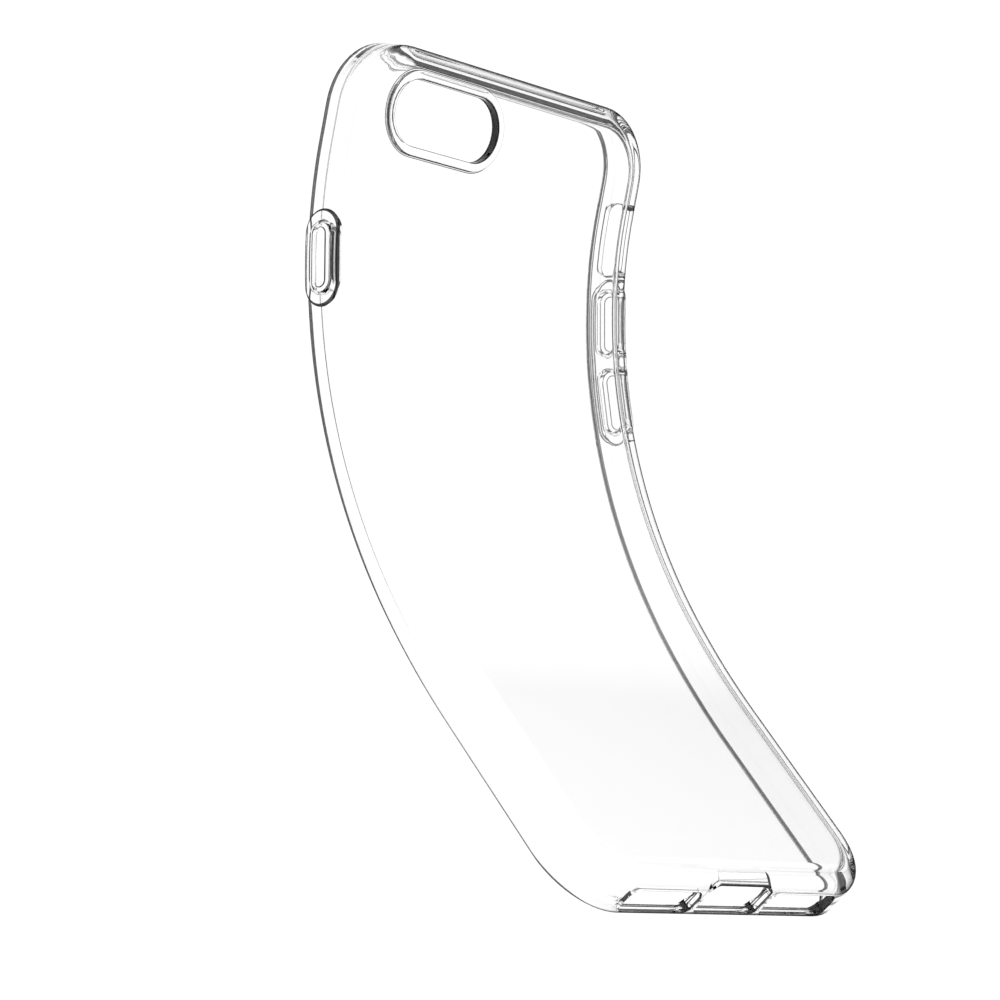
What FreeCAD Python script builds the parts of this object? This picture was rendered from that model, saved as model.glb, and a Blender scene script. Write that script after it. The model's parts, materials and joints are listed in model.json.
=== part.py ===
import FreeCAD, Part
import math
import os
import Sketcher

# Clear, soft moulded phone case, shown peeled: its lower end lies flat and its upper end
# curls up towards the back.
#
# The real object is one moulding.  It is divided here into the regions that move against
# each other when it bends: seven bands across its width (1 at the bottom, 7 at the top),
# each with a back panel and two side walls, plus the end walls, the corners, the guard ring
# round the camera opening and the three button covers.
#
# Every region is drawn in the frame of its own band: X across the case, Y along its back
# towards the top end, Z out of the back.  Z = 0 is the back's outer surface, so the walls
# hang down to Z = -depth.  "Left" and "right" are as seen from outside, looking at the back.

os.makedirs("parts", exist_ok=True)
doc = FreeCAD.newDocument("PhoneCase")

# ---------------------------------------------------------------- driving dimensions (mm, degrees)
DIMENSIONS = {
    "case_width": 70.1,
    "case_length": 141.2,
    "case_depth": 8.3,
    "back_thickness": 0.8,
    "wall_thickness": 1.4,
    "plan_radius": 11.0,          # corner of the outline, seen on the back
    "edge_radius": 2.4,           # outer rounding between back and walls
    "rim_radius": 1.5,            # outer rounding along the open front edge
    "side_radius": 3.65,          # inner rounding, that of the phone's own edge
    "lip_inset": 1.8,             # from the outer face to the front lip's inner edge
    # bands: length along the back and bend, from the bottom end to the top end
    "band_length_1": 36.0,
    "band_length_2": 18.0,
    "band_length_3": 18.0,
    "band_length_4": 16.0,
    "band_length_5": 13.2,
    "band_length_6": 13.0,
    "band_length_7": 10.2,        # the top band's curved stretch; its flat stretch is the rest
    "band_bend_1": 0.0,
    "band_bend_2": 7.5,
    "band_bend_3": 10.0,
    "band_bend_4": 9.6,
    "band_bend_5": 8.3,
    "band_bend_6": 9.2,
    "band_bend_7": 8.4,
    "rest_tilt": 17.5,            # bottom band's slope when the case lies on its curved rim
    # camera opening and its guard ring
    "camera_x": -16.2,
    "camera_station": 131.25,
    "camera_length": 24.1,
    "camera_width": 10.2,
    "ring_width": 1.4,
    "ring_height": 0.7,
    # button covers, all at one depth below the back
    "button_depth": 4.4,
    "button_length": 10.6,
    "button_width": 3.6,
    "button_proud": 0.8,
    "button_gap": 0.15,
    "surround_length": 12.6,
    "surround_width": 6.6,
    "surround_proud": 0.5,
    "surround_root": 1.0,         # how far a surround reaches into its wall
    "power_station": 107.6,
    "volume_up_station": 107.6,
    "volume_down_station": 94.9,
    # mute switch opening in the right wall
    "mute_station": 120.9,
    "mute_length": 11.5,
    "mute_width": 4.6,
    # openings in the bottom wall
    "port_length": 15.0,
    "port_width": 6.0,
    "port_depth": 4.4,
    "speaker_x": 17.0,
    "speaker_length": 16.4,
    "speaker_width": 4.6,
    "speaker_depth": 5.1,
    "port_corner": 1.6,
}
BANDS = 7

sheet = doc.addObject("Spreadsheet::Sheet", "Dims")
for row, (alias, value) in enumerate(DIMENSIONS.items(), start=1):
    sheet.set("A%d" % row, alias)
    sheet.set("B%d" % row, str(value))
    sheet.setAlias("B%d" % row, alias)
doc.recompute()


class Size:
    """A length or ratio that carries both its value and its spreadsheet formula."""

    def __init__(self, value, formula=None):
        self.value = float(value)
        self.formula = formula if formula else repr(float(value))

    def _join(self, other, sign, value):
        return Size(value, "(%s %s %s)" % (self.formula, sign, other.formula))

    def __add__(self, other):
        other = as_size(other)
        return self._join(other, "+", self.value + other.value)

    def __sub__(self, other):
        other = as_size(other)
        return self._join(other, "-", self.value - other.value)

    def __mul__(self, other):
        other = as_size(other)
        return self._join(other, "*", self.value * other.value)

    def __truediv__(self, other):
        other = as_size(other)
        return self._join(other, "/", self.value / other.value)

    def __neg__(self):
        return Size(-self.value, "(0 - %s)" % self.formula)

    def root(self):
        return Size(math.sqrt(self.value), "sqrt(%s)" % self.formula)


def as_size(number):
    return number if isinstance(number, Size) else Size(number)


def dim(alias):
    return Size(sheet.get(alias), "Dims.%s" % alias)


ZERO = Size(0)
OVERRUN = Size(1)             # how far a cutting bar runs past what it cuts, in mm
OUTLINE_STEPS = 400           # points along the case for finding its lowest place
HALF_WIDTH = dim("case_width") / 2
DEPTH = dim("case_depth")
PANEL_INSET = dim("wall_thickness") + dim("side_radius")   # outer face to the panel's edge
PANEL_HALF = HALF_WIDTH - PANEL_INSET


# ---------------------------------------------------------------- the bent centre line
def band_radius(band):
    """Radius of the back's outer surface along one curved band."""
    return dim("band_length_%d" % band) * 180 / (dim("band_bend_%d" % band) * math.pi)


def slope_frame(station):
    """Position (y, z) and slope in degrees of the back's outer surface at a distance
    along it from the bottom end, before the case is tilted to lie on its rim."""
    y, z, slope, left = 0.0, 0.0, 0.0, station
    for band in range(1, BANDS + 1):
        length = dim("band_length_%d" % band).value
        bend = dim("band_bend_%d" % band).value
        step = left if band == BANDS and left < length else min(left, length)
        if bend:
            radius = band_radius(band).value
            start = math.radians(slope)
            slope += bend * step / length
            end = math.radians(slope)
            y += radius * (math.sin(end) - math.sin(start))
            z += radius * (math.cos(start) - math.cos(end))
        else:
            y += step * math.cos(math.radians(slope))
            z += step * math.sin(math.radians(slope))
        left -= step
        if left <= 0:
            break
    y += left * math.cos(math.radians(slope))
    z += left * math.sin(math.radians(slope))
    return y, z, slope


def tilted(point_y, point_z):
    tilt = math.radians(dim("rest_tilt").value)
    return (point_y * math.cos(tilt) + point_z * math.sin(tilt),
            point_z * math.cos(tilt) - point_y * math.sin(tilt))


def rim_outline():
    """Outline of the whole case in the Y-Z plane, for setting the origin."""
    points = []
    for step in range(OUTLINE_STEPS + 1):
        y, z, slope = slope_frame(dim("case_length").value * step / OUTLINE_STEPS)
        angle = math.radians(slope)
        for depth in (0.0, DEPTH.value):
            points.append(tilted(y + depth * math.sin(angle), z - depth * math.cos(angle)))
    return points


OUTLINE = rim_outline()
ORIGIN_Y = (min(p[0] for p in OUTLINE) + max(p[0] for p in OUTLINE)) / 2
ORIGIN_Z = min(p[1] for p in OUTLINE)


def frame_at(station, x=0.0, depth=0.0, turn=0.0):
    """Placement on the back's surface at a station along it: local X across the case,
    local Y along it, local Z out of the back; turn is about local Z."""
    y, z, slope = slope_frame(station)
    angle = math.radians(slope)
    y, z = tilted(y + depth * math.sin(angle), z - depth * math.cos(angle))
    rotation = FreeCAD.Rotation(FreeCAD.Vector(1, 0, 0), slope - dim("rest_tilt").value)
    spin = FreeCAD.Rotation(FreeCAD.Vector(0, 0, 1), turn)
    return FreeCAD.Placement(FreeCAD.Vector(x, y - ORIGIN_Y, z - ORIGIN_Z),
                             rotation.multiply(spin))


# ---------------------------------------------------------------- sketch and body helpers
def new_body(label, placement):
    body = doc.addObject("PartDesign::Body", label)
    body.Label = label
    body.Placement = placement
    return body


def origin_plane(body, role):
    for feature in body.Origin.OriginFeatures:
        if feature.Role == role:
            return feature
    raise RuntimeError("no plane " + role)


def new_sketch(body, name, role, offset=None):
    """Sketch on one of the body's origin planes; offset moves its origin within
    the plane, along (x, y) of the sketch, or off it, along its normal."""
    sketch = body.newObject("Sketcher::SketchObject", name)
    sketch.AttachmentSupport = [(origin_plane(body, role), "")]
    sketch.MapMode = "FlatFace"
    if offset:
        for axis, size in zip(("x", "y", "z"), offset):
            if size.value:
                sketch.setExpression("AttachmentOffset.Base." + axis, size.formula)
    return sketch


def place_point(sketch, geometry, point, x, y):
    for kind, size in (("DistanceX", x), ("DistanceY", y)):
        index = sketch.addConstraint(
            Sketcher.Constraint(kind, -1, 1, geometry, point, size.value))
        sketch.setExpression("Constraints[%d]" % index, size.formula)


def place_centre(sketch, geometry, start, end, arc):
    """An arc with both ends placed has one freedom left: its centre's distance from the
    chord.  It is set along the axis that the chord leans away from."""
    rise = abs(end[1].value - start[1].value)
    run = abs(end[0].value - start[0].value)
    kind, size = ("DistanceX", arc[0]) if rise > run else ("DistanceY", arc[1])
    index = sketch.addConstraint(Sketcher.Constraint(kind, -1, 1, geometry, 3, size.value))
    sketch.setExpression("Constraints[%d]" % index, size.formula)


def draw_outline(sketch, points, arcs=None):
    """Closed outline through points (pairs of Size).  arcs maps the index of the point
    an arc starts from to (centre x, centre y, radius, anticlockwise)."""
    arcs = arcs or {}
    ends = []
    for index, start in enumerate(points):
        end = points[(index + 1) % len(points)]
        if index in arcs:
            centre_x, centre_y, radius, anticlockwise = arcs[index]
            first, last = (start, end) if anticlockwise else (end, start)
            angles = [math.atan2(p[1].value - centre_y.value, p[0].value - centre_x.value)
                      for p in (first, last)]
            if angles[1] <= angles[0]:
                angles[1] += 2 * math.pi
            circle = Part.Circle(FreeCAD.Vector(centre_x.value, centre_y.value, 0),
                                 FreeCAD.Vector(0, 0, 1), radius.value)
            number = sketch.addGeometry(Part.ArcOfCircle(circle, angles[0], angles[1]), False)
            ends.append((number, 1, 2) if anticlockwise else (number, 2, 1))
        else:
            line = Part.LineSegment(FreeCAD.Vector(start[0].value, start[1].value, 0),
                                    FreeCAD.Vector(end[0].value, end[1].value, 0))
            ends.append((sketch.addGeometry(line, False), 1, 2))
    for index, (number, entry, leave) in enumerate(ends):
        before = ends[index - 1]
        sketch.addConstraint(
            Sketcher.Constraint("Coincident", before[0], before[2], number, entry))
        place_point(sketch, number, entry, points[index][0], points[index][1])
        if index in arcs:
            place_centre(sketch, number, points[index],
                         points[(index + 1) % len(points)], arcs[index])


def draw_rectangle(sketch, low_x, low_y, high_x, high_y):
    draw_outline(sketch, [(low_x, low_y), (high_x, low_y), (high_x, high_y), (low_x, high_y)])


def draw_rounded(sketch, length, width, corner, x=ZERO, y=ZERO):
    """Rectangle with rounded corners, centred on (x, y)."""
    right, top = length / 2, width / 2
    points = [(x - right + corner, y - top), (x + right - corner, y - top),
              (x + right, y - top + corner), (x + right, y + top - corner),
              (x + right - corner, y + top), (x - right + corner, y + top),
              (x - right, y + top - corner), (x - right, y - top + corner)]
    arcs = {1: (x + right - corner, y - top + corner, corner, True),
            3: (x + right - corner, y + top - corner, corner, True),
            5: (x - right + corner, y + top - corner, corner, True),
            7: (x - right + corner, y - top + corner, corner, True)}
    draw_outline(sketch, points, arcs)


def draw_stadium(sketch, length, width, x=ZERO, y=ZERO):
    """Slot shape with round ends, its length along the sketch's X."""
    radius = width / 2
    reach = (length - width) / 2
    points = [(x - reach, y - radius), (x + reach, y - radius),
              (x + reach, y + radius), (x - reach, y + radius)]
    arcs = {1: (x + reach, y, radius, True), 3: (x - reach, y, radius, True)}
    draw_outline(sketch, points, arcs)


def pad(body, sketch, length, reverse=False):
    feature = body.newObject("PartDesign::Pad", sketch.Name + "_pad")
    feature.Profile = sketch
    feature.setExpression("Length", length.formula)
    feature.Reversed = reverse
    doc.recompute()
    return feature


def revolve(body, sketch, axis, angle, reverse=False):
    feature = body.newObject("PartDesign::Revolution", sketch.Name + "_turn")
    feature.Profile = sketch
    feature.ReferenceAxis = (sketch, [axis])
    feature.setExpression("Angle", angle.formula)
    feature.Reversed = reverse
    doc.recompute()
    return feature


# ---------------------------------------------------------------- sections of the moulding
def wall_outline(side, reach=ZERO):
    """Section of a wall with its back edge and front lip.  side is +1 or -1, the way the
    outer face looks; that face lies at x = reach."""
    def across(inset):
        return (reach - inset) * side if side < 0 else reach - inset

    edge, rim, inner = dim("edge_radius"), dim("rim_radius"), dim("side_radius")
    back, lip = dim("back_thickness"), dim("lip_inset")
    wall = dim("wall_thickness")
    centre_inset = wall + inner
    drop = (inner * inner - (centre_inset - lip) * (centre_inset - lip)).root()
    points = [(across(PANEL_INSET), ZERO), (across(edge), ZERO), (across(ZERO), -edge),
              (across(ZERO), rim - DEPTH), (across(rim), -DEPTH), (across(lip), -DEPTH),
              (across(lip), -(back + inner + drop)), (across(PANEL_INSET), -back)]
    outward = side > 0
    arcs = {1: (across(edge), -edge, edge, not outward),
            3: (across(rim), rim - DEPTH, rim, not outward),
            6: (across(centre_inset), -(back + inner), inner, outward)}
    return points, arcs


def wall_band(label, side, band):
    """Side wall along one whole curved band, drawn at the band's lower end."""
    start = sum(dim("band_length_%d" % number).value for number in range(1, band))
    body = new_body(label, frame_at(start, x=side * HALF_WIDTH.value))
    sketch = new_sketch(body, label + "_section", "XZ_Plane", (ZERO, band_radius(band), ZERO))
    points, arcs = wall_outline(side)
    radius = band_radius(band)
    draw_outline(sketch, [(x, z - radius) for x, z in points],
                 {key: (x, z - radius, size, way) for key, (x, z, size, way) in arcs.items()})
    revolve(body, sketch, "H_Axis", dim("band_bend_%d" % band))
    return body


def panel_band(label, band):
    """Back panel along one whole curved band."""
    start = sum(dim("band_length_%d" % number).value for number in range(1, band))
    body = new_body(label, frame_at(start))
    radius = band_radius(band)
    sketch = new_sketch(body, label + "_section", "XZ_Plane", (ZERO, radius, ZERO))
    draw_rectangle(sketch, -PANEL_HALF, -(radius + dim("back_thickness")), PANEL_HALF, -radius)
    revolve(body, sketch, "H_Axis", dim("band_bend_%d" % band))
    return body


def straight_wall(label, side, station, length):
    body = new_body(label, frame_at(station, x=side * HALF_WIDTH.value))
    sketch = new_sketch(body, label + "_section", "XZ_Plane")
    draw_outline(sketch, *wall_outline(side))
    pad(body, sketch, length, reverse=True)
    return body


def end_panel(label, station, turn, length):
    """Flat panel at an end of the case, with rounded outer corners.  It is drawn with
    the end of the case towards local -Y, and its inner edge at local Y = length."""
    body = new_body(label, frame_at(station, turn=turn))
    sketch = new_sketch(body, label + "_outline", "XY_Plane")
    corner = dim("plan_radius") - PANEL_INSET
    points = [(corner - PANEL_HALF, PANEL_INSET), (PANEL_HALF - corner, PANEL_INSET),
              (PANEL_HALF, dim("plan_radius")), (PANEL_HALF, length),
              (-PANEL_HALF, length), (-PANEL_HALF, dim("plan_radius"))]
    arcs = {1: (PANEL_HALF - corner, dim("plan_radius"), corner, True),
            5: (corner - PANEL_HALF, dim("plan_radius"), corner, True)}
    draw_outline(sketch, points, arcs)
    pad(body, sketch, dim("back_thickness"), reverse=True)
    return body


def corner_wall(label, station, turn):
    """Quarter turn of the wall section about the corner's centre, from local +X to +Y."""
    x = (HALF_WIDTH - dim("plan_radius")).value
    body = new_body(label, frame_at(station, x=x if turn in (0, -90) else -x, turn=turn))
    sketch = new_sketch(body, label + "_section", "XZ_Plane")
    draw_outline(sketch, *wall_outline(1, dim("plan_radius")))
    revolve(body, sketch, "V_Axis", Size(90))
    return body


def end_wall(label, station, turn):
    """Wall across an end of the case between its corners; local +X points outwards."""
    length = dim("case_width") - dim("plan_radius") * 2
    body = new_body(label, frame_at(station, x=length.value / 2 * (1 if turn > 0 else -1),
                                    turn=turn))
    sketch = new_sketch(body, label + "_section", "XZ_Plane")
    draw_outline(sketch, *wall_outline(1))
    pad(body, sketch, length, reverse=True)
    return body


def side_tool(label, station, side, length, width, inner, outer):
    """Round-ended bar that runs through a side wall, from x = inner to x = outer,
    at the button covers' depth."""
    place = frame_at(station, x=side * inner.value, depth=dim("button_depth").value,
                     turn=0 if side > 0 else 180)
    body = new_body(label, place)
    sketch = new_sketch(body, label + "_outline", "YZ_Plane")
    draw_stadium(sketch, length, width)
    pad(body, sketch, outer - inner)
    return body


def cut(label, base, tool):
    result = doc.addObject("Part::Cut", label)
    result.Label = label
    result.Base = base
    result.Tool = tool
    doc.recompute()
    return result


def fuse(label, first, second):
    result = doc.addObject("Part::MultiFuse", label)
    result.Label = label
    result.Shapes = [first, second]
    doc.recompute()
    return result


def button_wall(name, side, band, station):
    """Side wall of one band with a raised surround and a hole for a button cover."""
    wall = wall_band(name + "_plain", side, band)
    proud = HALF_WIDTH + dim("surround_proud")
    surround = side_tool(name + "_surround", station, side, dim("surround_length"),
                         dim("surround_width"), HALF_WIDTH - dim("surround_root"), proud)
    raised = fuse(name + "_raised", wall, surround)
    gap = dim("button_gap") * 2
    hole = side_tool(name + "_hole", station, side, dim("button_length") + gap,
                     dim("button_width") + gap,
                     HALF_WIDTH - dim("wall_thickness") - OVERRUN, proud + OVERRUN)
    return cut(name, raised, hole)


def button_cap(label, station, side):
    return side_tool(label, station, side, dim("button_length"), dim("button_width"),
                     HALF_WIDTH - dim("wall_thickness"), HALF_WIDTH + dim("button_proud"))


def top_side_wall(label, side):
    """Side wall of the top band: its curved stretch and the flat one up to the corner."""
    curved = wall_band(label + "_curved", side, BANDS)
    flat = straight_wall(label + "_flat", side, top_flat_start, top_flat - corner)
    return fuse(label, curved, flat)


def end_openings(label):
    """Bar with the outlines of the port and of the two speaker openings, to be cut
    from the bottom end; the openings' length runs across the case."""
    body = new_body(label, frame_at(0))
    sketch = new_sketch(body, label + "_outline", "XZ_Plane")
    round_corner = dim("port_corner")
    draw_rounded(sketch, dim("port_length"), dim("port_width"), round_corner,
                 ZERO, -dim("port_depth"))
    for side in (-1, 1):
        draw_rounded(sketch, dim("speaker_length"), dim("speaker_width"), round_corner,
                     dim("speaker_x") * side, -dim("speaker_depth"))
    feature = pad(body, sketch, PANEL_INSET * 2)
    feature.Midplane = True
    doc.recompute()
    return body


def camera_bar(label):
    """Bar through the back with the outline of the camera opening."""
    body = new_body(label, frame_at(dim("camera_station").value, x=dim("camera_x").value))
    sketch = new_sketch(body, label + "_outline", "XY_Plane")
    draw_stadium(sketch, dim("camera_length"), dim("camera_width"))
    feature = pad(body, sketch, (dim("back_thickness") + OVERRUN) * 2)
    feature.Midplane = True
    doc.recompute()
    return body


def camera_ring(label):
    body = new_body(label, frame_at(dim("camera_station").value, x=dim("camera_x").value))
    sketch = new_sketch(body, label + "_outline", "XY_Plane")
    rim = dim("ring_width") * 2
    draw_stadium(sketch, dim("camera_length") + rim, dim("camera_width") + rim)
    draw_stadium(sketch, dim("camera_length"), dim("camera_width"))
    pad(body, sketch, dim("ring_height"))
    return body


# ---------------------------------------------------------------- the pieces
nodes = []
bottom_length = dim("band_length_1")
corner = dim("plan_radius")
top_flat = dim("case_length")
for number in range(1, BANDS + 1):
    top_flat = top_flat - dim("band_length_%d" % number)
top_flat_start = (dim("case_length") - top_flat).value
top_corner = (dim("case_length") - corner).value

# bottom band: flat, with the port and speaker openings in its end wall
openings = end_openings("end_openings")
nodes.append(end_panel("back_panel_1", 0, 0, bottom_length))
nodes.append(straight_wall("left_wall_1", -1, corner.value, bottom_length - corner))
nodes.append(straight_wall("right_wall_1", 1, corner.value, bottom_length - corner))
nodes.append(cut("bottom_wall", end_wall("bottom_wall_plain", 0, -90), openings))
nodes.append(cut("bottom_left_corner", corner_wall("left_corner_plain", corner.value, 180),
                 openings))
nodes.append(cut("bottom_right_corner", corner_wall("right_corner_plain", corner.value, -90),
                 openings))

# curved bands 2 to 6: a back panel and two side walls each
button_walls = {("left", 6): "power_station", ("right", 6): "volume_up_station",
                ("right", 5): "volume_down_station"}
for band in range(2, BANDS):
    nodes.append(panel_band("back_panel_%d" % band, band))
    for name, side in (("left", -1), ("right", 1)):
        label = "%s_wall_%d" % (name, band)
        if (name, band) in button_walls:
            station = dim(button_walls[name, band]).value
            nodes.append(button_wall(label, side, band, station))
        else:
            nodes.append(wall_band(label, side, band))

# top band: a curved stretch and a flat end with the camera opening
camera = camera_bar("camera_opening")
top_panel = fuse("top_panel_plain", panel_band("top_panel_curved", BANDS),
                 end_panel("top_panel_flat", dim("case_length").value, 180, top_flat))
nodes.append(cut("back_panel_7", top_panel, camera))
nodes.append(top_side_wall("left_wall_7", -1))
mute = side_tool("mute_opening", dim("mute_station").value, 1, dim("mute_length"),
                 dim("mute_width"), HALF_WIDTH - PANEL_INSET, HALF_WIDTH + OVERRUN)
nodes.append(cut("right_wall_7", top_side_wall("right_wall_plain", 1), mute))
nodes.append(cut("top_wall", end_wall("top_wall_plain", dim("case_length").value, 90), camera))
nodes.append(corner_wall("top_left_corner", top_corner, 90))
nodes.append(corner_wall("top_right_corner", top_corner, 0))
nodes.append(camera_ring("camera_guard_ring"))

# button covers, free to be pushed through their walls
nodes.append(button_cap("power_button_cap", dim("power_station").value, -1))
nodes.append(button_cap("volume_up_cap", dim("volume_up_station").value, 1))
nodes.append(button_cap("volume_down_cap", dim("volume_down_station").value, 1))

doc.recompute()
for item in doc.Objects:
    if "Invalid" in item.State or "Error" in item.State:
        raise RuntimeError("failed feature: %s %s" % (item.Label, item.State))
for node in nodes:
    shape = node.Shape
    if shape.isNull() or not shape.isValid() or len(shape.Solids) != 1:
        raise RuntimeError("bad solid: %s" % node.Label)
for node in nodes:
    node.Shape.exportStep("parts/%s.step" % node.Label)
print(len(nodes), "nodes written")
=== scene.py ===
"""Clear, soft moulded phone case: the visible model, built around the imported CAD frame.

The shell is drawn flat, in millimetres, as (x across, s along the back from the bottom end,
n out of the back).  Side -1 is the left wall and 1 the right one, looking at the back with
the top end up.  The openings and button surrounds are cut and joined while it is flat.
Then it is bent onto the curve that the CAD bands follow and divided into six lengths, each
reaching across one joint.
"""

import json
import math

import bmesh
import bpy
import numpy as np
from mathutils import Matrix, Vector
from mathutils.geometry import delaunay_2d_cdt


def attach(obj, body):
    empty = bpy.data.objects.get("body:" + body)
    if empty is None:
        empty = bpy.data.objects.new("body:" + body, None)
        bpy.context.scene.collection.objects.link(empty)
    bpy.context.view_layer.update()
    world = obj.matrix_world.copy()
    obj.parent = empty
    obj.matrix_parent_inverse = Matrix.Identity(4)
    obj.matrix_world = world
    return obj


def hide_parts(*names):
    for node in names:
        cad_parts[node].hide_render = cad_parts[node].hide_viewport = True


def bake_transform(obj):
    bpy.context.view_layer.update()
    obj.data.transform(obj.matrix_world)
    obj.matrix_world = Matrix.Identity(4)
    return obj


MM = 0.001
MERGE_DISTANCE = 1e-4       # points closer than this are one point (mm)
SLIVER = 2e-3               # edges shorter than this go after cutting (mm)
LARGEST_MISS = 0.05         # between the frame's joints and the curve drawn here (mm)

# ---------------------------------------------------------------- the moulding (mm, degrees)
LENGTH = 141.2
HALF_WIDTH = 35.05
DEPTH = 8.3
BACK_THICKNESS = 0.8
WALL_THICKNESS = 1.4
PLAN_RADIUS = 11.0
EDGE_RADIUS = 2.4           # outer rounding between back and walls
RIM_RADIUS = 1.5            # outer rounding along the open front
RIM_SHADE_STEP = 6           # the one step of the rim's rounding painted near black as a shade line
LIP_INSET = 1.8             # outer face to the front lip's inner edge
LIP_ROUND = 0.3
LIP_SHADE_LINE = 0.3              # painted shade line on the lip's inner edge
SIDE_RADIUS = 3.65          # inner rounding of the walls
SIDE_CENTRE = WALL_THICKNESS + SIDE_RADIUS
FLOOR_INSET = 4.3           # outer face to where the inside of the back becomes flat
FLAT_MARGIN = 0.15          # thin border of the flat faces, so that they shade quite flat

# the curve of the back from the bottom end: stretches of even bend, then flat to the top end
BAND_LENGTHS = (36.0, 18.0, 18.0, 16.0, 13.2, 13.0, 10.2)
BAND_BENDS = (0.0, 7.5, 10.0, 9.6, 8.3, 9.2, 8.4)
REST_TILT = 17.5            # slope of the flat bottom band
JOINT_DEPTH = BACK_THICKNESS
STRIP = 1.5                 # length of the strips that take the bend
CURVE_START = 26.0          # the strips start before the first joint's blend

# camera opening and its guard ring
CAMERA_HOLE = (-16.2, 131.25)
CAMERA_HOLE_HALF = (12.05, 5.1)
RING_WIDTH = 1.4
RING_HEIGHT = 0.7
RING_ROUND = 0.3
EDGE_SHADE_LINE = 0.2             # width of the painted shade line at a sharp edge
HOLE_SHADE_LINE = 0.4             # width of the painted shade line round the camera opening

# button covers and the raised surrounds that they stand in
BUTTON_DEPTH = 4.4
BUTTON_HALF = (5.3, 1.8)
BUTTON_PROUD = 0.8          # how far a cover stands out of the wall
BUTTON_STEP = 0.15          # the raised middle of a cover
BUTTON_BORDER = 0.8
BUTTON_GAP = 0.15
BUTTON_ROUND = 0.4
BASE_ROUND = 0.15           # rounding of a cover's inner end
SURROUND_PROUD = 0.5
SURROUND_MARGIN = (1.8, 1.6)
SURROUND_ROOT = 0.85        # how deep a surround is joined into the wall
POWER_SHADE_STEPS = 5        # steps of each surround's rounding painted near black as shade lines
VOLUME_SHADE_STEPS = 2
POWER_STATION = 107.6
VOLUME_UP_STATION = 107.6
VOLUME_DOWN_STATION = 94.9
# name, CAD node, side of the case, station
BUTTONS = (
    ("power", "power_button_cap", -1, POWER_STATION),
    ("volume_up", "volume_up_cap", 1, VOLUME_UP_STATION),
    ("volume_down", "volume_down_cap", 1, VOLUME_DOWN_STATION),
)

# openings in the walls: centre, depth below the back, half sizes and corner
MUTE_STATION = 120.9
MUTE_DEPTH = 4.4
MUTE_HALF = (5.75, 2.2)
MUTE_CORNER = 1.7
PORT_DEPTH = 4.4
PORT_HALF = (7.5, 3.0)
SPEAKER_X = 17.0
SPEAKER_DEPTH = 5.1
SPEAKER_HALF = (8.2, 2.3)
OPENING_CORNER = 1.6
OPENING_ROUND = 0.25
FLARE_END = 110.0           # where the rounding of an opening's edge meets the outer face
FLARE_REACH = 0.6           # the cutters go on past it

# points to a quarter of an outline
PLAN_STEPS = 14
PILL_STEPS = 12
OPENING_STEPS = 10

# the six lengths of shell: the bodies it joins, where it ends, from and to where it bends
PIECES = (
    ("bottom_band", "band_2", 45.0, 28.0, 44.0),
    ("band_2", "band_3", 63.0, 46.0, 62.0),
    ("band_3", "band_4", 80.0, 64.0, 79.0),
    ("band_4", "band_5", 94.6, 83.0, 92.0),
    ("band_5", "band_6", 107.7, 97.5, 105.0),
    ("band_6", "top_band", LENGTH, 109.5, 119.5),
)
# the CAD nodes that each of them stands for
CAD_PIECES = (
    ("back_panel_1", "left_wall_1", "right_wall_1", "bottom_wall", "bottom_left_corner",
     "bottom_right_corner", "back_panel_2", "left_wall_2", "right_wall_2"),
    ("back_panel_3", "left_wall_3", "right_wall_3"),
    ("back_panel_4", "left_wall_4", "right_wall_4"),
    ("back_panel_5", "left_wall_5", "right_wall_5"),
    ("back_panel_6", "left_wall_6", "right_wall_6"),
    ("back_panel_7", "left_wall_7", "right_wall_7", "top_wall", "top_left_corner",
     "top_right_corner", "camera_guard_ring"),
)
SHARP_ANGLE = 38.0
FLAT, ROUND, SHADED_EDGE = range(3)    # the finishes: faces, large roundings, small edges painted near black as shade lines


# ---------------------------------------------------------------- the bent centre line
def walk(station):
    """Place (y, z) and slope in radians of the back's outer face, at a distance along it
    from the bottom end, where it starts at the origin."""
    y, z, slope, left = 0.0, 0.0, -math.radians(REST_TILT), station
    for length, bend in zip(BAND_LENGTHS, BAND_BENDS):
        step = min(left, length)
        if bend:
            radius = length / math.radians(bend)
            end = slope + step / radius
            y += radius * (math.sin(end) - math.sin(slope))
            z += radius * (math.cos(slope) - math.cos(end))
            slope = end
        else:
            y += step * math.cos(slope)
            z += step * math.sin(slope)
        left -= step
    return y + left * math.cos(slope), z + left * math.sin(slope), slope


def over_face(station, height):
    """Place (y, z) at a height over the back's outer face."""
    y, z, slope = walk(station)
    return y - height * math.sin(slope), z + height * math.cos(slope)


def line_origin(joints):
    """Where the centre line starts, so that it passes through the joints of the frame."""
    pivots = [j["pos_m"] for j in joints if j["name"].startswith("curl_")]
    y, z = over_face(BAND_LENGTHS[0], -JOINT_DEPTH)
    start = pivots[0][1] / MM - y, pivots[0][2] / MM - z
    y, z = over_face(sum(BAND_LENGTHS[:-1]), -JOINT_DEPTH)
    miss = math.hypot(y + start[0] - pivots[-1][1] / MM, z + start[1] - pivots[-1][2] / MM)
    if miss > LARGEST_MISS:
        raise RuntimeError("the frame's joints aren't on the shell's curve")
    return start


def place(x, station, height):
    """A point of the flat drawing, in metres in the frame."""
    y, z = over_face(station, height)
    return Vector((x, y + ORIGIN[0], z + ORIGIN[1])) * MM


# ---------------------------------------------------------------- outlines and lofts
def turn(centre, radii, start, end, steps):
    """Points along part of an ellipse, both ends included, angles in degrees."""
    angles = np.radians(np.linspace(start, end, steps + 1))
    return [(centre[0] + radii[0] * math.cos(a), centre[1] + radii[1] * math.sin(a))
            for a in angles]


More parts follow.
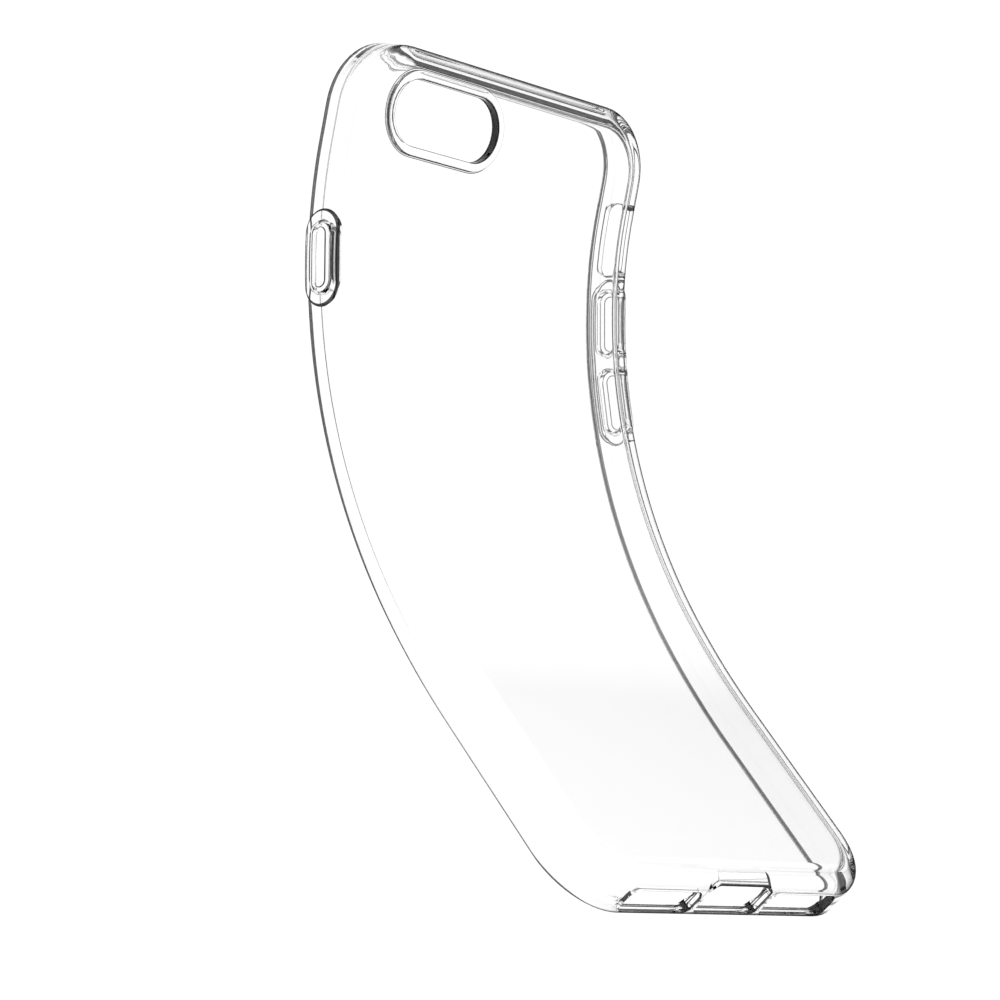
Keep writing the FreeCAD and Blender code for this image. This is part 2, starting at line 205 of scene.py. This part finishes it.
def outline(half, corner, offset, steps):
    """Rounded rectangle about the origin, grown outwards by offset."""
    points = []
    for number, (side_x, side_y) in enumerate(((1, -1), (1, 1), (-1, 1), (-1, -1))):
        centre = (side_x * (half[0] - corner), side_y * (half[1] - corner))
        radius = corner + offset
        start = 90 * (number - 1)
        points += turn(centre, (radius, radius), start, start + 90, steps)
    return points


def strip(points, finish):
    """Profile points with the finish of the faces that lead to them."""
    return [(offset, height, finish) for offset, height in points]


def rounded(points, painted_shade=()):
    """Profile points round an edge.  Faces leading to the points numbered in the second argument
    are small edges painted near black as shade lines; the first point ends the flat face before
    the rounding."""
    finishes = [SHADED_EDGE if number in painted_shade else ROUND for number in range(len(points))]
    finishes[0] = FLAT
    return [(offset, height, finish) for (offset, height), finish in zip(points, finishes)]


def rings(mesh, half, corner, profile, put, steps):
    """Outlines grown by each profile point's offset and put at its height, with faces
    between neighbours.  Returns the first and the last ring."""
    made = []
    for offset, height, _ in profile:
        loop = outline(half, corner, offset, steps)
        made.append([mesh.verts.new(put(u, v, height)) for u, v in loop])
    for low, high, (_, _, finish) in zip(made, made[1:], profile[1:]):
        for index in range(len(low)):
            after = (index + 1) % len(low)
            face = mesh.faces.new((low[index], low[after], high[after], high[index]))
            face.material_index = finish
    return made[0], made[-1]


def let_light_through(obj):
    """Clear plastic in soft light throws no shadow to speak of."""
    obj.visible_shadow = False
    obj.visible_diffuse = False


def fill_between(mesh, outer, hole):
    """Flat triangles between an outer ring and the ring of a hole in it."""
    ring = outer + hole
    points = [Vector(vert.co[:2]) for vert in ring]
    loops = [list(range(len(outer))), list(range(len(outer), len(ring)))]
    only_inside, tolerance = 1, 1e-6
    filled = delaunay_2d_cdt(points, [], loops, only_inside, tolerance)
    triangles, source_points, source_loops = filled[2], filled[3], filled[5]
    if not all(source_points):
        raise RuntimeError("the rings of a flat face cross")
    for triangle, loops_round_it in zip(triangles, source_loops):
        if loops_round_it == [0]:
            mesh.faces.new([ring[source_points[corner][0]] for corner in triangle])


def finish_mesh(mesh, name):
    """Object of a mesh, with doubled points merged and its normals outwards."""
    bmesh.ops.remove_doubles(mesh, verts=mesh.verts, dist=MERGE_DISTANCE)
    bmesh.ops.recalc_face_normals(mesh, faces=mesh.faces)
    data = bpy.data.meshes.new(name)
    mesh.to_mesh(data)
    mesh.free()
    obj = bpy.data.objects.new(name, data)
    bpy.context.scene.collection.objects.link(obj)
    return obj


def solid(name, half, corner, profile, put, steps):
    """Closed solid: rings with both ends filled."""
    mesh = bmesh.new()
    for ring in rings(mesh, half, corner, profile, put, steps):
        mesh.faces.new(ring)
    return finish_mesh(mesh, name)


def on_side(side, station, depth):
    """Puts an outline on a side wall, about a point of it."""
    def put(u, v, out):
        return side * out, station + u, v - depth
    return put


def on_bottom(x, depth):
    """Puts an outline on the bottom wall, about a point of it."""
    def put(u, v, out):
        return x + u, -out, v - depth
    return put


# ---------------------------------------------------------------- the flat shell
def wall_section():
    """From the edge of the back's outer face, round the wall and the lip, to the edge of the
    back's inner face, as (inset, depth, finish)."""
    edge = turn((EDGE_RADIUS, EDGE_RADIUS), (EDGE_RADIUS, EDGE_RADIUS), 270, 180, 9)
    points = strip([(EDGE_RADIUS + FLAT_MARGIN, 0)], FLAT) + rounded(edge)
    centre = (RIM_RADIUS, DEPTH - RIM_RADIUS)
    rim = turn(centre, (RIM_RADIUS, RIM_RADIUS), 180, 90, 10)
    # one step of the rim's rounding is painted near black as a shade line
    points += rounded(rim, (RIM_SHADE_STEP,))
    lip = (LIP_INSET - LIP_ROUND, DEPTH - LIP_ROUND)
    points += strip(turn(lip, (LIP_ROUND, LIP_ROUND), 90, 0, 3), ROUND)
    # a painted shade line on the lip's inner edge
    points += strip([(LIP_INSET, lip[1] - LIP_SHADE_LINE)], SHADED_EDGE)
    centre_depth = BACK_THICKNESS + SIDE_RADIUS
    reach = SIDE_CENTRE - LIP_INSET
    meet = 180 - math.degrees(math.acos(reach / SIDE_RADIUS))
    under = turn((SIDE_CENTRE, centre_depth), (SIDE_RADIUS, SIDE_RADIUS), meet, 180, 4)
    points += strip(under, FLAT)
    inner = (FLOOR_INSET - WALL_THICKNESS, SIDE_RADIUS)
    points += strip(turn((FLOOR_INSET, centre_depth), inner, 180, 270, 12)[1:], ROUND)
    return points + strip([(FLOOR_INSET + FLAT_MARGIN, BACK_THICKNESS)], FLAT)


def camera_section():
    """From the back's outer face, over the guard ring, to the inner face, as (offset, height,
    finish)."""
    foot = (RING_WIDTH + RING_ROUND, RING_ROUND)
    fillet = turn(foot, (RING_ROUND, RING_ROUND), 270, 180, 4)
    # one step of the guard ring's foot is painted near black as a shade line
    points = strip([(foot[0] + FLAT_MARGIN, 0)], FLAT) + rounded(fillet, (1,))
    top = RING_HEIGHT - RING_ROUND
    crown = turn((RING_WIDTH - RING_ROUND, top), (RING_ROUND, RING_ROUND), 0, 90, 5)
    points += strip(crown[1:], ROUND)
    hole = turn((RING_ROUND, top), (RING_ROUND, RING_ROUND), 90, 180, 5)
    # three steps of the opening's rounding and the inner end of its wall are painted near black
    # as shade lines
    points += rounded(hole, (3, 4, 5)) + strip([(0, HOLE_SHADE_LINE - BACK_THICKNESS)], FLAT)
    return points + strip([(0, -BACK_THICKNESS)], SHADED_EDGE)


def flat_tray():
    """The shell with its camera opening and guard ring, before anything else is cut."""
    mesh = bmesh.new()
    half = (HALF_WIDTH, LENGTH / 2)

    def on_plan(u, v, height):
        return u, v + LENGTH / 2, height

    def on_camera(u, v, height):
        return CAMERA_HOLE[0] + u, CAMERA_HOLE[1] + v, height

    wall = [(-inset, -depth, finish) for inset, depth, finish in wall_section()]
    outer, inner = rings(mesh, half, PLAN_RADIUS, wall, on_plan, PLAN_STEPS)
    ring_foot, hole_end = rings(mesh, CAMERA_HOLE_HALF, CAMERA_HOLE_HALF[1],
                                camera_section(), on_camera, PILL_STEPS)
    fill_between(mesh, outer, ring_foot)
    fill_between(mesh, inner, hole_end)
    return finish_mesh(mesh, "shell")


def surround(name, side, low_station, high_station, shade_steps):
    """Raised pad on a side wall that the button covers stand in.  The last steps of its
    rounding, as many as given, are painted near black as shade lines."""
    half = ((high_station - low_station) / 2 + BUTTON_HALF[0] + SURROUND_MARGIN[0],
            BUTTON_HALF[1] + SURROUND_MARGIN[1])
    top = HALF_WIDTH + SURROUND_PROUD
    rounding = turn((-BUTTON_ROUND, top - BUTTON_ROUND), (BUTTON_ROUND, BUTTON_ROUND), 0, 90, 5)
    clear_steps = len(rounding) - shade_steps
    profile = strip([(0, HALF_WIDTH - SURROUND_ROOT)], FLAT)
    # the last steps of the rounding are painted near black as shade lines
    profile += strip(rounding[:clear_steps], ROUND) + strip(rounding[clear_steps:], SHADED_EDGE)
    put = on_side(side, (low_station + high_station) / 2, BUTTON_DEPTH)
    return solid(name, half, half[1], profile, put, PILL_STEPS)


def opening(name, half, corner, put, inner, face, grow=0.0, finish=SHADED_EDGE):
    """Cutter for an opening whose edge is rounded where it meets the outer face."""
    flare = turn((grow + OPENING_ROUND, face - OPENING_ROUND),
                 (OPENING_ROUND, OPENING_ROUND), 180, FLARE_END, 4)
    slope = math.radians(FLARE_END - 90)
    last = flare[-1]
    outside = (last[0] + FLARE_REACH * math.cos(slope), last[1] + FLARE_REACH * math.sin(slope))
    wall_inside = face - WALL_THICKNESS
    profile = strip([(grow, inner), (grow, wall_inside)], FLAT)
    # the inner end of the wall and the outer rounding take the given finish: small edges painted
    # near black as shade lines, or for the buttons the roundings with their painted shade
    profile += strip([(grow, wall_inside + EDGE_SHADE_LINE)], finish) + strip(flare[:1], FLAT)
    profile += strip(flare[1:] + [outside], finish)
    return solid(name, half, corner, profile, put, OPENING_STEPS)


def cutters():
    """Every opening in the walls."""
    inner = HALF_WIDTH - SIDE_CENTRE
    made = []
    for name, _, side, station in BUTTONS:
        made.append(opening(name + "_hole", BUTTON_HALF, BUTTON_HALF[1],
                            on_side(side, station, BUTTON_DEPTH), inner,
                            HALF_WIDTH + SURROUND_PROUD, BUTTON_GAP, ROUND))
    made.append(opening("mute_hole", MUTE_HALF, MUTE_CORNER,
                        on_side(1, MUTE_STATION, MUTE_DEPTH), inner, HALF_WIDTH))
    made.append(opening("port_hole", PORT_HALF, OPENING_CORNER,
                        on_bottom(0, PORT_DEPTH), -FLOOR_INSET, 0.0))
    for side in (-1, 1):
        made.append(opening("speaker_hole", SPEAKER_HALF, OPENING_CORNER,
                            on_bottom(side * SPEAKER_X, SPEAKER_DEPTH), -FLOOR_INSET, 0.0))
    return made


def combine(obj, tools, operation):
    """Joins the tools to a mesh or cuts them out of it, and removes them."""
    for tool in tools:
        modifier = obj.modifiers.new(tool.name, "BOOLEAN")
        modifier.operation = operation
        modifier.solver = "EXACT"
        modifier.object = tool
    baked = evaluated_mesh(obj)
    obj.modifiers.clear()
    obj.data = baked
    for tool in tools:
        bpy.data.objects.remove(tool)


def evaluated_mesh(obj):
    """The mesh of an object after its modifiers."""
    graph = bpy.context.evaluated_depsgraph_get()
    graph.update()
    return bpy.data.meshes.new_from_object(obj.evaluated_get(graph))


def cut_stations():
    """Where the flat shell is cut across: each strip, and the ends of the six lengths."""
    ends = [piece[2] for piece in PIECES[:-1]]
    count = int((LENGTH - CURVE_START) / STRIP)
    strips = [CURVE_START + STRIP * number for number in range(count)]
    clear = STRIP / 3
    return ends + [s for s in strips if min(abs(s - end) for end in ends) > clear]


def bend(obj):
    """Cuts the flat shell into strips and moves every point onto the curve."""
    mesh = bmesh.new()
    mesh.from_mesh(obj.data)
    for station in sorted(cut_stations()):
        geometry = mesh.verts[:] + mesh.edges[:] + mesh.faces[:]
        bmesh.ops.bisect_plane(mesh, geom=geometry, dist=MERGE_DISTANCE,
                               plane_co=(0, station, 0), plane_no=(0, 1, 0))
    bmesh.ops.dissolve_degenerate(mesh, dist=SLIVER, edges=mesh.edges)
    bmesh.ops.triangulate(mesh, faces=[f for f in mesh.faces if len(f.verts) > 4])
    stations = mesh.faces.layers.float.new("station")
    for face in mesh.faces:
        face[stations] = face.calc_center_median().y
    for vert in mesh.verts:
        vert.co = place(*vert.co)
    mesh.to_mesh(obj.data)
    mesh.free()


def even_normals(obj):
    """Smooth corner normals, weighted by face size, with the moulding's edges kept."""
    obj.data.shade_smooth()
    obj.data.set_sharp_from_angle(angle=math.radians(SHARP_ANGLE))
    modifier = obj.modifiers.new("even_normals", "WEIGHTED_NORMAL")
    modifier.keep_sharp = True
    obj.data = evaluated_mesh(obj)
    obj.modifiers.clear()


def lengths_of(obj, finishes):
    """Splits the shell at the ends of the six lengths.  Each keeps the whole shell's
    normals, so that no seam shows."""
    data = obj.data
    stations = np.zeros(len(data.polygons))
    data.attributes["station"].data.foreach_get("value", stations)
    points = np.array([v.co for v in data.vertices])
    normals = [tuple(n.vector) for n in data.corner_normals]
    made = []
    low = -1.0
    for number, piece in enumerate(PIECES, start=1):
        chosen = [p for p in data.polygons if low < stations[p.index] <= piece[2]]
        used = sorted({v for p in chosen for v in p.vertices})
        new_index = {old: new for new, old in enumerate(used)}
        faces = [[new_index[v] for v in p.vertices] for p in chosen]
        part = bpy.data.meshes.new("shell_%d" % number)
        part.from_pydata([tuple(points[v]) for v in used], [], faces)
        for finish in finishes:
            part.materials.append(finish)
        part.polygons.foreach_set("material_index", [p.material_index for p in chosen])
        part.shade_smooth()
        part.normals_split_custom_set([normals[c] for p in chosen for c in p.loop_indices])
        made.append(bpy.data.objects.new(part.name, part))
        bpy.context.scene.collection.objects.link(made[-1])
        low = piece[2]
    bpy.data.objects.remove(obj)
    return made


def build_shell(finishes):
    """The whole shell in its six lengths, in place of the CAD parts, which are hidden."""
    shell = flat_tray()
    pads = [surround("power_pad", -1, POWER_STATION, POWER_STATION, POWER_SHADE_STEPS),
            surround("volume_pad", 1, VOLUME_DOWN_STATION, VOLUME_UP_STATION, VOLUME_SHADE_STEPS)]
    combine(shell, pads, "UNION")
    combine(shell, cutters(), "DIFFERENCE")
    bend(shell)
    even_normals(shell)
    for obj, piece, nodes in zip(lengths_of(shell, finishes), PIECES, CAD_PIECES):
        body, next_body, _, start, end = piece
        let_light_through(obj)
        place(0, start, -JOINT_DEPTH)
        place(0, end, -JOINT_DEPTH)
        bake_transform(obj)
        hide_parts(*nodes)


# ---------------------------------------------------------------- button covers
def build_cover(name, side, station, body, node, finishes):
    """Button cover: a pill with rounded edges and a raised middle."""
    shoulder = HALF_WIDTH + BUTTON_PROUD - BUTTON_STEP
    base = HALF_WIDTH - WALL_THICKNESS
    top = shoulder + BUTTON_STEP
    profile = rounded(turn((-BASE_ROUND, base + BASE_ROUND), (BASE_ROUND, BASE_ROUND),
                           270, 360, 3))
    # one step of the shoulder's rounding and the steps of the raised middle's rounding are
    # painted near black as shade lines
    profile += rounded(turn((-BUTTON_ROUND, shoulder - BUTTON_ROUND),
                            (BUTTON_ROUND, BUTTON_ROUND), 0, 90, 5), (1,))
    profile += rounded(turn((BUTTON_STEP - BUTTON_BORDER, top), (BUTTON_STEP, BUTTON_STEP),
                            270, 180, 3), (1, 2, 3))
    profile += strip([(-BUTTON_BORDER - BUTTON_STEP / 2, top)], FLAT)
    cover = solid(name, BUTTON_HALF, BUTTON_HALF[1], profile,
                  on_side(side, station, BUTTON_DEPTH), PILL_STEPS)
    middle, slope = place(0, station, 0), walk(station)[2]
    for vert in cover.data.vertices:
        x, s, n = vert.co
        along, out = (s - station) * MM, n * MM
        vert.co = Vector((x * MM,
                          middle.y + along * math.cos(slope) - out * math.sin(slope),
                          middle.z + along * math.sin(slope) + out * math.cos(slope)))
    even_normals(cover)
    for finish in finishes:
        cover.data.materials.append(finish)
    let_light_through(cover)
    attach(cover, body)
    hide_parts(node)


# ---------------------------------------------------------------- materials
REFRACTION = 1.45
HAZIEST = 0.02              # roughness where the haze is strongest
HAZE_SCALE = 60.0
WAVE_SCALE = 90.0
WAVE_HEIGHT = 0.0002        # metres
WAVE_STRENGTH = 0.05
# colour of the shade painted in as the plastic turns away from the eye
PAINTED_EDGE_SHADE = (0.015, 0.015, 0.016, 1)
PALE = (0.92, 0.92, 0.92, 1)


def clear_plastic(name, tint, shade_from, shade_to, deepest_shade):
    """Clear glossy plastic with the faint waviness and haze of a soft moulding.  A matt
    near-black shade is painted in as it turns away from the eye, up to the share given last,
    standing in for the shade on curved edges of clear plastic.  The two limits before it say how
    far away, between 0 for facing and 1 for edge on."""
    material = bpy.data.materials.new(name)
    material.use_nodes = True
    nodes, links = material.node_tree.nodes, material.node_tree.links
    shader = nodes["Principled BSDF"]
    shader.inputs["Base Color"].default_value = (tint, tint, tint, 1)
    shader.inputs["Transmission Weight"].default_value = 1.0
    shader.inputs["IOR"].default_value = REFRACTION
    place_of = nodes.new("ShaderNodeTexCoord")
    haze = nodes.new("ShaderNodeTexNoise")
    haze.inputs["Scale"].default_value = HAZE_SCALE
    haze.inputs["Detail"].default_value = 3.0
    gloss = nodes.new("ShaderNodeMapRange")
    gloss.inputs["To Min"].default_value = 0.0
    gloss.inputs["To Max"].default_value = HAZIEST
    waves = nodes.new("ShaderNodeTexNoise")
    waves.inputs["Scale"].default_value = WAVE_SCALE
    waves.inputs["Detail"].default_value = 1.0
    bump = nodes.new("ShaderNodeBump")
    bump.inputs["Strength"].default_value = WAVE_STRENGTH
    bump.inputs["Distance"].default_value = WAVE_HEIGHT
    links.new(place_of.outputs["Object"], haze.inputs["Vector"])
    links.new(place_of.outputs["Object"], waves.inputs["Vector"])
    links.new(haze.outputs["Fac"], gloss.inputs["Value"])
    links.new(gloss.outputs["Result"], shader.inputs["Roughness"])
    links.new(waves.outputs["Fac"], bump.inputs["Height"])
    links.new(bump.outputs["Normal"], shader.inputs["Normal"])
    # painted shade: a matt near-black shader mixed in as the surface turns away from the eye
    grazing = nodes.new("ShaderNodeLayerWeight")
    shade_share = nodes.new("ShaderNodeMapRange")
    shade_share.inputs["From Min"].default_value = shade_from
    shade_share.inputs["From Max"].default_value = shade_to
    shade_share.inputs["To Max"].default_value = deepest_shade
    painted_shade = nodes.new("ShaderNodeBsdfDiffuse")
    painted_shade.inputs["Color"].default_value = PAINTED_EDGE_SHADE
    mix = nodes.new("ShaderNodeMixShader")
    links.new(grazing.outputs["Facing"], shade_share.inputs["Value"])
    links.new(shade_share.outputs["Result"], mix.inputs["Fac"])
    links.new(shader.outputs["BSDF"], mix.inputs[1])
    links.new(painted_shade.outputs["BSDF"], mix.inputs[2])
    links.new(mix.outputs["Shader"], nodes["Material Output"].inputs["Surface"])
    return material


def floor_material():
    """Matt and pale, the same all over."""
    material = bpy.data.materials.new("pale_floor")
    material.use_nodes = True
    shader = material.node_tree.nodes["Principled BSDF"]
    shader.inputs["Base Color"].default_value = PALE
    shader.inputs["Roughness"].default_value = 0.9
    shader.inputs["Specular IOR Level"].default_value = 0.0
    return material


# ---------------------------------------------------------------- stage, light and camera
# metres, but the sensor and the lens in mm and the roll in degrees
TABLE_SIZE = 3.0
FLOOR_SIZE = 8.0
FLOOR_DROP = 0.032          # the straightened case swings down below its resting height
STEP_DOWN = 0.0003
WHITE = (1.0, 1.0, 1.0, 1)
LIGHT_STRENGTH = 1.15
# the surround that clear plastic picks up: height, as the direction's z, and brightness
SURROUND_LIGHT = ((0.18, 0.0), (0.36, 1.0), (0.9, 1.0), (0.95, 0.1))
SENSOR = 36.0
LENS = 123.18
NEAREST = 0.05
CAMERA_PLACE = (-0.40722, -0.18612, 0.28675)
CAMERA_AIM = (0.0, 0.00544, 0.00355)
CAMERA_ROLL = 57.86


def ground_sheet(name, size, drop, surface):
    """Square of the ground, drop below the lowest point of the resting case."""
    mesh = bmesh.new()
    bmesh.ops.create_grid(mesh, x_segments=8, y_segments=8, size=size / 2)
    for vert in mesh.verts:
        vert.co.z = -drop
    data = bpy.data.meshes.new(name)
    mesh.to_mesh(data)
    mesh.free()
    data.materials.append(surface)
    sheet = bpy.data.objects.new(name, data)
    bpy.context.scene.collection.objects.link(sheet)
    return sheet


def build_floor():
    """A bright table top round the case, and a wide floor under it that clear plastic
    doesn't mirror or show, so that its edges have something dark to pick up."""
    surface = floor_material()
    ground_sheet("table_top", TABLE_SIZE, FLOOR_DROP, surface)
    floor = ground_sheet("floor", FLOOR_SIZE, FLOOR_DROP + STEP_DOWN, surface)
    floor.visible_glossy = False
    floor.visible_transmission = False


def build_light():
    """Even studio surround.  Clear plastic shows by what it bends towards the eye, so the
    surround has a dark band low down and high up, as black cards give in a studio."""
    world = bpy.data.worlds.new("studio")
    bpy.context.scene.world = world
    world.use_nodes = True
    nodes, links = world.node_tree.nodes, world.node_tree.links
    back = nodes["Background"]
    direction = nodes.new("ShaderNodeTexCoord")
    split = nodes.new("ShaderNodeSeparateXYZ")
    bands = nodes.new("ShaderNodeValToRGB")
    rays = nodes.new("ShaderNodeLightPath")
    bent = nodes.new("ShaderNodeMath")
    bent.operation = "MAXIMUM"
    mix = nodes.new("ShaderNodeMix")
    mix.data_type = "RGBA"
    stops = bands.color_ramp.elements
    for number, (height, shade) in enumerate(SURROUND_LIGHT):
        stop = stops[number] if number < len(stops) else stops.new(height)
        stop.position = height
        stop.color = (shade, shade, shade, 1)
    links.new(direction.outputs["Generated"], split.inputs[0])
    links.new(split.outputs["Z"], bands.inputs["Fac"])
    links.new(rays.outputs["Is Glossy Ray"], bent.inputs[0])
    links.new(rays.outputs["Is Transmission Ray"], bent.inputs[1])
    links.new(bent.outputs[0], mix.inputs["Factor"])
    mix.inputs["A"].default_value = WHITE
    links.new(bands.outputs["Color"], mix.inputs["B"])
    links.new(mix.outputs["Result"], back.inputs["Color"])
    back.inputs["Strength"].default_value = LIGHT_STRENGTH


def build_camera():
    """Camera above and to the left of the case's bottom end, rolled so that the top end is up
    in the view."""
    data = bpy.data.cameras.new("camera")
    data.sensor_width = SENSOR
    data.lens = LENS
    data.clip_start = NEAREST
    camera = bpy.data.objects.new("camera", data)
    bpy.context.scene.collection.objects.link(camera)
    view = Vector(CAMERA_AIM) - Vector(CAMERA_PLACE)
    camera.location = CAMERA_PLACE
    turned = view.to_track_quat("-Z", "Y").to_matrix().to_4x4()
    turned.translation = camera.location
    camera.matrix_world = turned @ Matrix.Rotation(math.radians(CAMERA_ROLL), 4, "Z")
    bpy.context.scene.camera = camera


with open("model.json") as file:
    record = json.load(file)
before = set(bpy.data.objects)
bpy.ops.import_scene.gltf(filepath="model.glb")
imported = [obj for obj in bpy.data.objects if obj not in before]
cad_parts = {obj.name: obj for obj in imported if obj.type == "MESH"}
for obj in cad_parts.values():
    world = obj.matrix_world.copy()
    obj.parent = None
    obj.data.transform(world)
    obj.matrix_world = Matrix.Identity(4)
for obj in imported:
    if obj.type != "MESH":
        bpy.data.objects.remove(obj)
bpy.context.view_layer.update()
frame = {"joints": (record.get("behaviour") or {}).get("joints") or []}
ORIGIN = line_origin(frame["joints"])
bpy.context.scene.view_settings.view_transform = "Standard"
# every finish gets painted shade as it turns away, the roundings most of all
plastic = (clear_plastic("clear_tpu", tint=0.98, shade_from=0.9, shade_to=1.0, deepest_shade=0.3),
           clear_plastic("clear_tpu_round_shaded", tint=0.98, shade_from=0.52, shade_to=0.78,
                         deepest_shade=0.95),
           # the edge finish: clear plastic tinted near black, painted shade lines along small
           # edges
           clear_plastic("clear_tpu_shade_line", tint=0.004, shade_from=0.15, shade_to=0.5,
                         deepest_shade=0.95))
build_shell(plastic)
for name, node, side, station in BUTTONS:
    build_cover(name + "_cover", side, station, name + "_button", node, plastic)
build_floor()
build_light()
build_camera()
